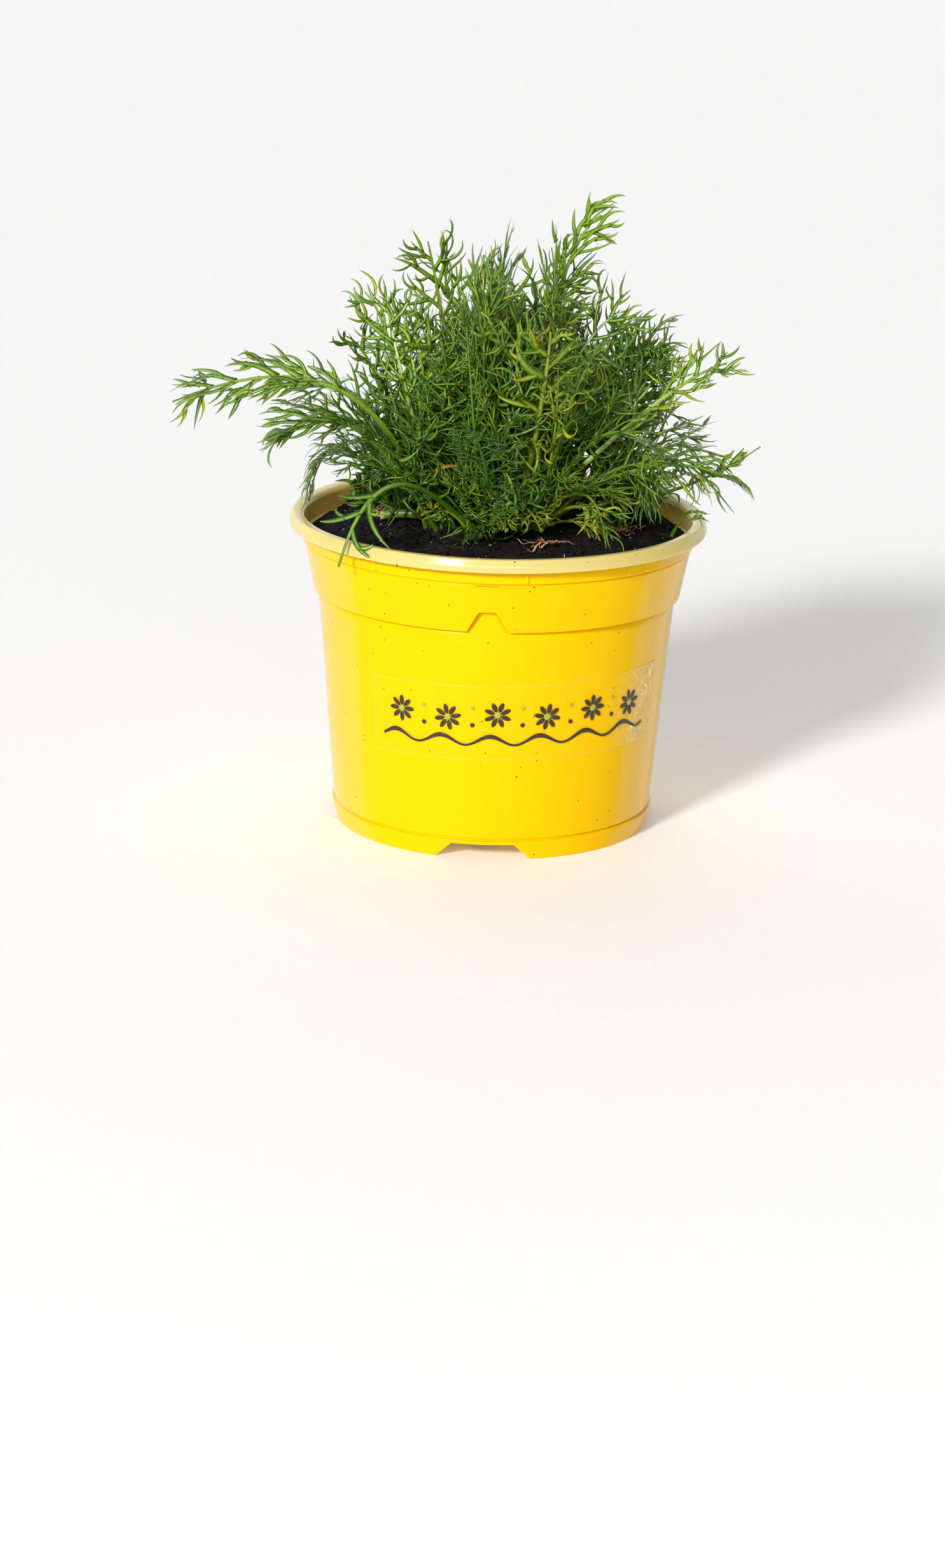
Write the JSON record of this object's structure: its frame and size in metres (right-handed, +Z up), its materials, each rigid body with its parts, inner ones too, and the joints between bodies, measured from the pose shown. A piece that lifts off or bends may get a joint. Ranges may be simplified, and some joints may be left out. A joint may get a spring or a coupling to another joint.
{
  "type": "potted chamomile",
  "caption": "Clump of young feathery-leaved chamomile plants in a round thin-walled plastic nursery pot with a rolled rim, stacking notches, drain channels and a clear film label.",
  "frame": {"origin": "centre of the pot's base, on the surface it stands on", "axes": "+Z up out of the pot, -Y towards the front with the film label, +X to the right seen from the front"},
  "size_m": [0.1624, 0.1402, 0.1758],
  "materials": {
    "pot_plastic": "semi-gloss bright yellow outside, pale cream rim and inside",
    "compost": "moist black-brown peat compost, crumbly",
    "label_film": "clear glossy film with small bubbles",
    "crown_green": "waxy pale green stems",
    "leaf_green": "waxy mid green leaves, lighter at the midribs",
    "leaf_dry": "dry orange-brown leaf"
  },
  "bodies": {
    "root": {"pot": "pot_plastic", "soil": "compost", "label_film": "label_film", "crown_front": "crown_green", "crown_left": "crown_green", "crown_right": "crown_green", "crown_middle": "crown_green", "crown_far_left": "crown_green", "crown_back_left": "crown_green", "crown_back": "crown_green", "crown_far_right": "crown_green", "leaf_front_1": "leaf_green", "leaf_front_2": "leaf_green", "leaf_front_3": "leaf_green", "leaf_front_4": "leaf_green", "leaf_front_5": "leaf_green", "leaf_front_6": "leaf_green", "leaf_left_1": "leaf_green", "leaf_left_2": "leaf_green", "leaf_left_3": "leaf_green", "leaf_left_4": "leaf_green", "leaf_right_1": "leaf_green", "leaf_right_2": "leaf_green", "leaf_right_3": "leaf_green", "leaf_right_4": "leaf_green", "leaf_right_5": "leaf_green", "leaf_middle_1": "leaf_green", "leaf_middle_2": "leaf_green", "leaf_middle_3": "leaf_green", "leaf_middle_4": "leaf_green", "leaf_middle_5": "leaf_green", "leaf_far_left_1": "leaf_green", "leaf_far_left_2": "leaf_green", "leaf_far_left_3": "leaf_green", "leaf_far_left_4": "leaf_green", "leaf_far_left_5": "leaf_green", "leaf_back_left_1": "leaf_green", "leaf_back_left_2": "leaf_green", "leaf_back_left_3": "leaf_green", "leaf_back_left_4": "leaf_green", "leaf_back_1": "leaf_green", "leaf_back_2": "leaf_green", "leaf_back_3": "leaf_green", "leaf_back_4": "leaf_green", "leaf_far_right_1": "leaf_green", "leaf_far_right_2": "leaf_green", "leaf_far_right_3": "leaf_green", "leaf_far_right_4": "leaf_green", "leaf_over_rim": "leaf_green", "cut_stalk": "crown_green", "dry_leaf_front": "leaf_dry", "dry_leaf_left": "leaf_dry", "dry_leaf_right": "leaf_dry"}
  },
  "joints": []
}
